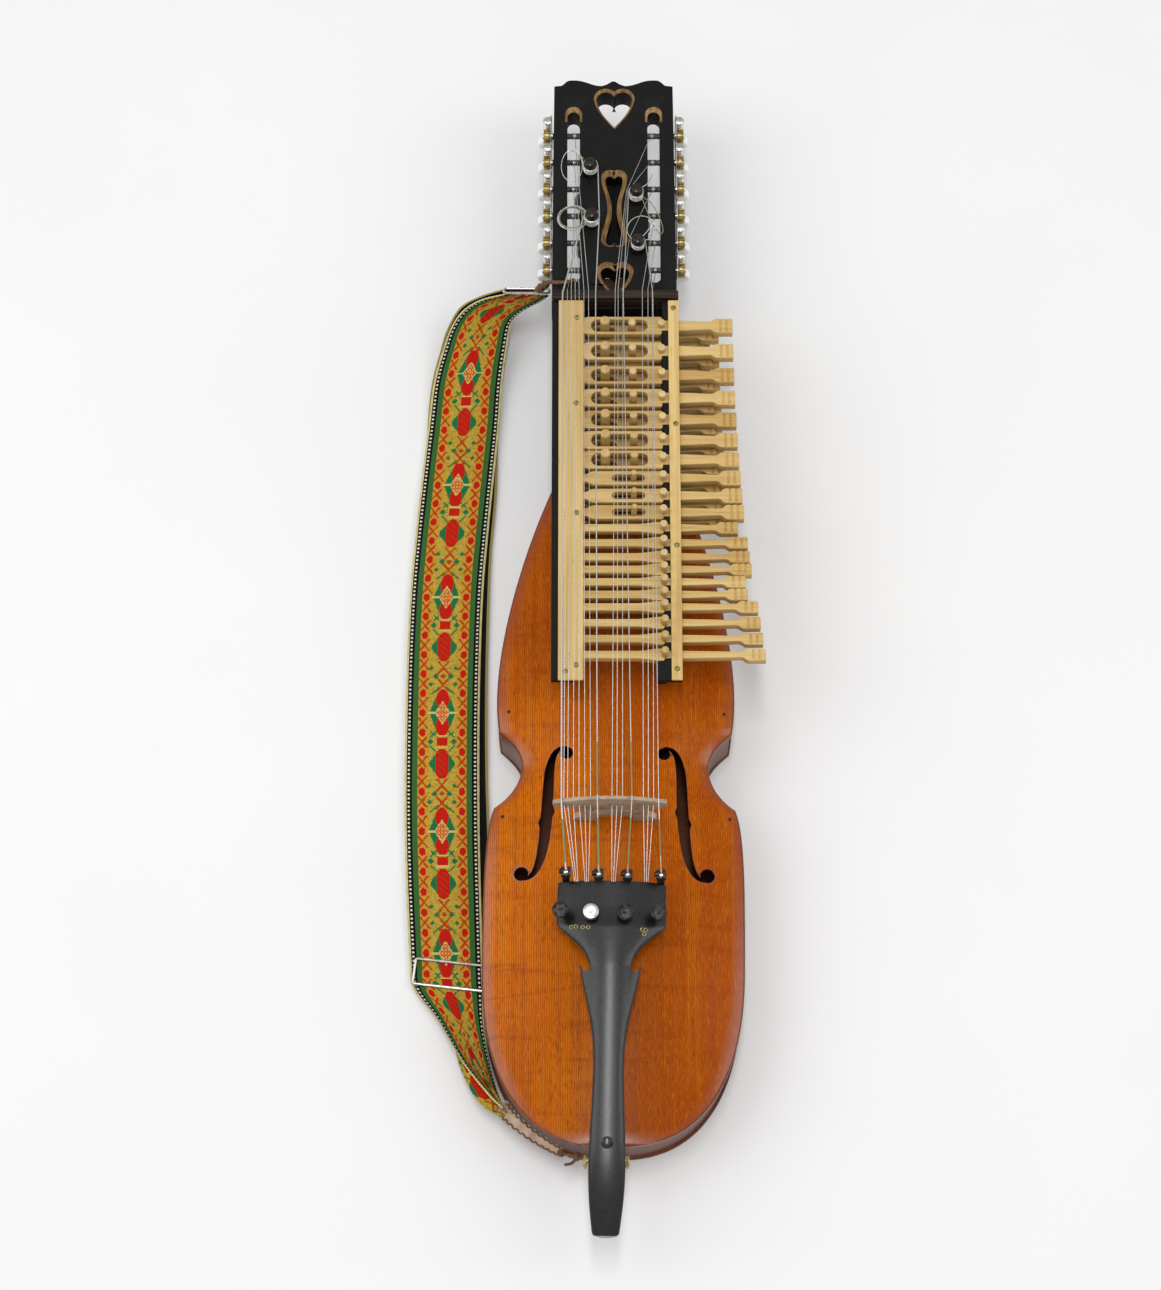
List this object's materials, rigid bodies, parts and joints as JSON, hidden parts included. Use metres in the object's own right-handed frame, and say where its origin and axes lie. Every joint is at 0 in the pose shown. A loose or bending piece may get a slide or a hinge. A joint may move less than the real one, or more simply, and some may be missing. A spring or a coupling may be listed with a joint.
{
  "type": "nyckelharpa",
  "caption": "Keyed fiddle with a waisted sound box, sliding wooden keys with tangents, friction pegs, sympathetic strings, long tailpiece and a woven shoulder strap.",
  "frame": {"origin": "on the flat back, straight below the bridge, on the centreline of the lower bout", "axes": "+X towards the key paddles, +Y along the strings towards the head, +Z out of the soundboard"},
  "size_m": [0.2685, 0.9046, 0.1157],
  "materials": {
    "amber_varnish": "gloss spirit varnish over spruce",
    "dark_varnish": "gloss dark brown varnish",
    "bare_spruce": "bare, sanded",
    "neck_stain": "dark brown stain, satin",
    "black_lacquer": "satin black lacquer",
    "black_gloss": "gloss black lacquer, orange-peel sheen",
    "nut_wood": "polished rosewood brown",
    "maple": "bare, fine sanded",
    "birch": "pale, oiled",
    "peg_black": "polished black",
    "brass": "aged satin",
    "nickel": "nickel plate with brass gears and pearl buttons",
    "black_metal": "black plated",
    "string_steel": "bright wire",
    "webbing": "woven mustard band with red and green figures",
    "leather": "brown thong and pale tab, with steel wire fittings"
  },
  "bodies": {
    "body": {"back_plate": "dark_varnish", "ribs": "dark_varnish", "soundboard": "amber_varnish", "bass_bar": "bare_spruce", "sound_post": "bare_spruce", "neck": "neck_stain", "head": "black_lacquer", "nut": "nut_wood", "bridge": "maple", "tailpiece": "black_gloss", "fine_tuners": "black_metal", "tail_loop": "brass", "key_box_boards": "black_lacquer", "cap_rails": "birch", "rail_screws": "brass", "sympathetic_tuners": "nickel", "strings": "string_steel", "strap": "webbing", "strap_fittings": "leather"},
    "g_peg": {"g_peg": "peg_black"},
    "drone_peg": {"drone_peg": "peg_black"},
    "c_peg": {"c_peg": "peg_black"},
    "a_peg": {"a_peg": "peg_black"},
    "a_key_01": {"a_key_01": "birch"},
    "a_key_02": {"a_key_02": "birch"},
    "a_key_03": {"a_key_03": "birch"},
    "a_key_04": {"a_key_04": "birch"},
    "a_key_05": {"a_key_05": "birch"},
    "a_key_06": {"a_key_06": "birch"},
    "a_key_07": {"a_key_07": "birch"},
    "a_key_08": {"a_key_08": "birch"},
    "a_key_09": {"a_key_09": "birch"},
    "a_key_10": {"a_key_10": "birch"},
    "a_key_11": {"a_key_11": "birch"},
    "a_key_12": {"a_key_12": "birch"},
    "a_key_13": {"a_key_13": "birch"},
    "a_key_14": {"a_key_14": "birch"},
    "a_key_15": {"a_key_15": "birch"},
    "a_key_16": {"a_key_16": "birch"},
    "a_key_17": {"a_key_17": "birch"},
    "a_key_18": {"a_key_18": "birch"},
    "a_key_19": {"a_key_19": "birch"},
    "a_key_20": {"a_key_20": "birch"},
    "c_key_01": {"c_key_01": "birch"},
    "c_key_02": {"c_key_02": "birch"},
    "c_key_03": {"c_key_03": "birch"},
    "c_key_04": {"c_key_04": "birch"},
    "c_key_05": {"c_key_05": "birch"},
    "c_key_06": {"c_key_06": "birch"},
    "c_key_07": {"c_key_07": "birch"},
    "c_key_08": {"c_key_08": "birch"},
    "c_key_09": {"c_key_09": "birch"},
    "c_key_10": {"c_key_10": "birch"},
    "g_key_01": {"g_key_01": "birch"},
    "g_key_02": {"g_key_02": "birch"},
    "g_key_03": {"g_key_03": "birch"},
    "g_key_04": {"g_key_04": "birch"},
    "g_key_05": {"g_key_05": "birch"},
    "g_key_06": {"g_key_06": "birch"},
    "g_key_07": {"g_key_07": "birch"}
  },
  "joints": [
    {"name": "g_peg_turn", "type": "hinge", "parent": "body", "child": "g_peg", "pos_m": [-0.0175, 0.517, 0.073], "axis": [0, 0, 1], "continuous": true},
    {"name": "drone_peg_turn", "type": "hinge", "parent": "body", "child": "drone_peg", "pos_m": [-0.0164, 0.473, 0.073], "axis": [0, 0, 1], "continuous": true},
    {"name": "c_peg_turn", "type": "hinge", "parent": "body", "child": "c_peg", "pos_m": [0.018, 0.494, 0.073], "axis": [0, 0, 1], "continuous": true},
    {"name": "a_peg_turn", "type": "hinge", "parent": "body", "child": "a_peg", "pos_m": [0.019, 0.451, 0.073], "axis": [0, 0, 1], "continuous": true},
    {"name": "a_key_01_slide", "type": "slide", "parent": "body", "child": "a_key_01", "axis": [-1, 0, 0], "range_m": [0, 0.0025]},
    {"name": "a_key_02_slide", "type": "slide", "parent": "body", "child": "a_key_02", "axis": [-1, 0, 0], "range_m": [0, 0.0025]},
    {"name": "a_key_03_slide", "type": "slide", "parent": "body", "child": "a_key_03", "axis": [-1, 0, 0], "range_m": [0, 0.0025]},
    {"name": "a_key_04_slide", "type": "slide", "parent": "body", "child": "a_key_04", "axis": [-1, 0, 0], "range_m": [0, 0.0025]},
    {"name": "a_key_05_slide", "type": "slide", "parent": "body", "child": "a_key_05", "axis": [-1, 0, 0], "range_m": [0, 0.0025]},
    {"name": "a_key_06_slide", "type": "slide", "parent": "body", "child": "a_key_06", "axis": [-1, 0, 0], "range_m": [0, 0.0025]},
    {"name": "a_key_07_slide", "type": "slide", "parent": "body", "child": "a_key_07", "axis": [-1, 0, 0], "range_m": [0, 0.0025]},
    {"name": "a_key_08_slide", "type": "slide", "parent": "body", "child": "a_key_08", "axis": [-1, 0, 0], "range_m": [0, 0.0025]},
    {"name": "a_key_09_slide", "type": "slide", "parent": "body", "child": "a_key_09", "axis": [-1, 0, 0], "range_m": [0, 0.0025]},
    {"name": "a_key_10_slide", "type": "slide", "parent": "body", "child": "a_key_10", "axis": [-1, 0, 0], "range_m": [0, 0.0025]},
    {"name": "a_key_11_slide", "type": "slide", "parent": "body", "child": "a_key_11", "axis": [-1, 0, 0], "range_m": [0, 0.0025]},
    {"name": "a_key_12_slide", "type": "slide", "parent": "body", "child": "a_key_12", "axis": [-1, 0, 0], "range_m": [0, 0.0025]},
    {"name": "a_key_13_slide", "type": "slide", "parent": "body", "child": "a_key_13", "axis": [-1, 0, 0], "range_m": [0, 0.0025]},
    {"name": "a_key_14_slide", "type": "slide", "parent": "body", "child": "a_key_14", "axis": [-1, 0, 0], "range_m": [0, 0.0025]},
    {"name": "a_key_15_slide", "type": "slide", "parent": "body", "child": "a_key_15", "axis": [-1, 0, 0], "range_m": [0, 0.0025]},
    {"name": "a_key_16_slide", "type": "slide", "parent": "body", "child": "a_key_16", "axis": [-1, 0, 0], "range_m": [0, 0.0025]},
    {"name": "a_key_17_slide", "type": "slide", "parent": "body", "child": "a_key_17", "axis": [-1, 0, 0], "range_m": [0, 0.0025]},
    {"name": "a_key_18_slide", "type": "slide", "parent": "body", "child": "a_key_18", "axis": [-1, 0, 0], "range_m": [0, 0.0025]},
    {"name": "a_key_19_slide", "type": "slide", "parent": "body", "child": "a_key_19", "axis": [-1, 0, 0], "range_m": [0, 0.0025]},
    {"name": "a_key_20_slide", "type": "slide", "parent": "body", "child": "a_key_20", "axis": [-1, 0, 0], "range_m": [0, 0.0025]},
    {"name": "c_key_01_slide", "type": "slide", "parent": "body", "child": "c_key_01", "axis": [-1, 0, 0], "range_m": [0, 0.0025]},
    {"name": "c_key_02_slide", "type": "slide", "parent": "body", "child": "c_key_02", "axis": [-1, 0, 0], "range_m": [0, 0.0025]},
    {"name": "c_key_03_slide", "type": "slide", "parent": "body", "child": "c_key_03", "axis": [-1, 0, 0], "range_m": [0, 0.0025]},
    {"name": "c_key_04_slide", "type": "slide", "parent": "body", "child": "c_key_04", "axis": [-1, 0, 0], "range_m": [0, 0.0025]},
    {"name": "c_key_05_slide", "type": "slide", "parent": "body", "child": "c_key_05", "axis": [-1, 0, 0], "range_m": [0, 0.0025]},
    {"name": "c_key_06_slide", "type": "slide", "parent": "body", "child": "c_key_06", "axis": [-1, 0, 0], "range_m": [0, 0.0025]},
    {"name": "c_key_07_slide", "type": "slide", "parent": "body", "child": "c_key_07", "axis": [-1, 0, 0], "range_m": [0, 0.0025]},
    {"name": "c_key_08_slide", "type": "slide", "parent": "body", "child": "c_key_08", "axis": [-1, 0, 0], "range_m": [0, 0.0025]},
    {"name": "c_key_09_slide", "type": "slide", "parent": "body", "child": "c_key_09", "axis": [-1, 0, 0], "range_m": [0, 0.0025]},
    {"name": "c_key_10_slide", "type": "slide", "parent": "body", "child": "c_key_10", "axis": [-1, 0, 0], "range_m": [0, 0.0025]},
    {"name": "g_key_01_slide", "type": "slide", "parent": "body", "child": "g_key_01", "axis": [-1, 0, 0], "range_m": [0, 0.0025]},
    {"name": "g_key_02_slide", "type": "slide", "parent": "body", "child": "g_key_02", "axis": [-1, 0, 0], "range_m": [0, 0.0025]},
    {"name": "g_key_03_slide", "type": "slide", "parent": "body", "child": "g_key_03", "axis": [-1, 0, 0], "range_m": [0, 0.0025]},
    {"name": "g_key_04_slide", "type": "slide", "parent": "body", "child": "g_key_04", "axis": [-1, 0, 0], "range_m": [0, 0.0025]},
    {"name": "g_key_05_slide", "type": "slide", "parent": "body", "child": "g_key_05", "axis": [-1, 0, 0], "range_m": [0, 0.0025]},
    {"name": "g_key_06_slide", "type": "slide", "parent": "body", "child": "g_key_06", "axis": [-1, 0, 0], "range_m": [0, 0.0025]},
    {"name": "g_key_07_slide", "type": "slide", "parent": "body", "child": "g_key_07", "axis": [-1, 0, 0], "range_m": [0, 0.0025]}
  ]
}
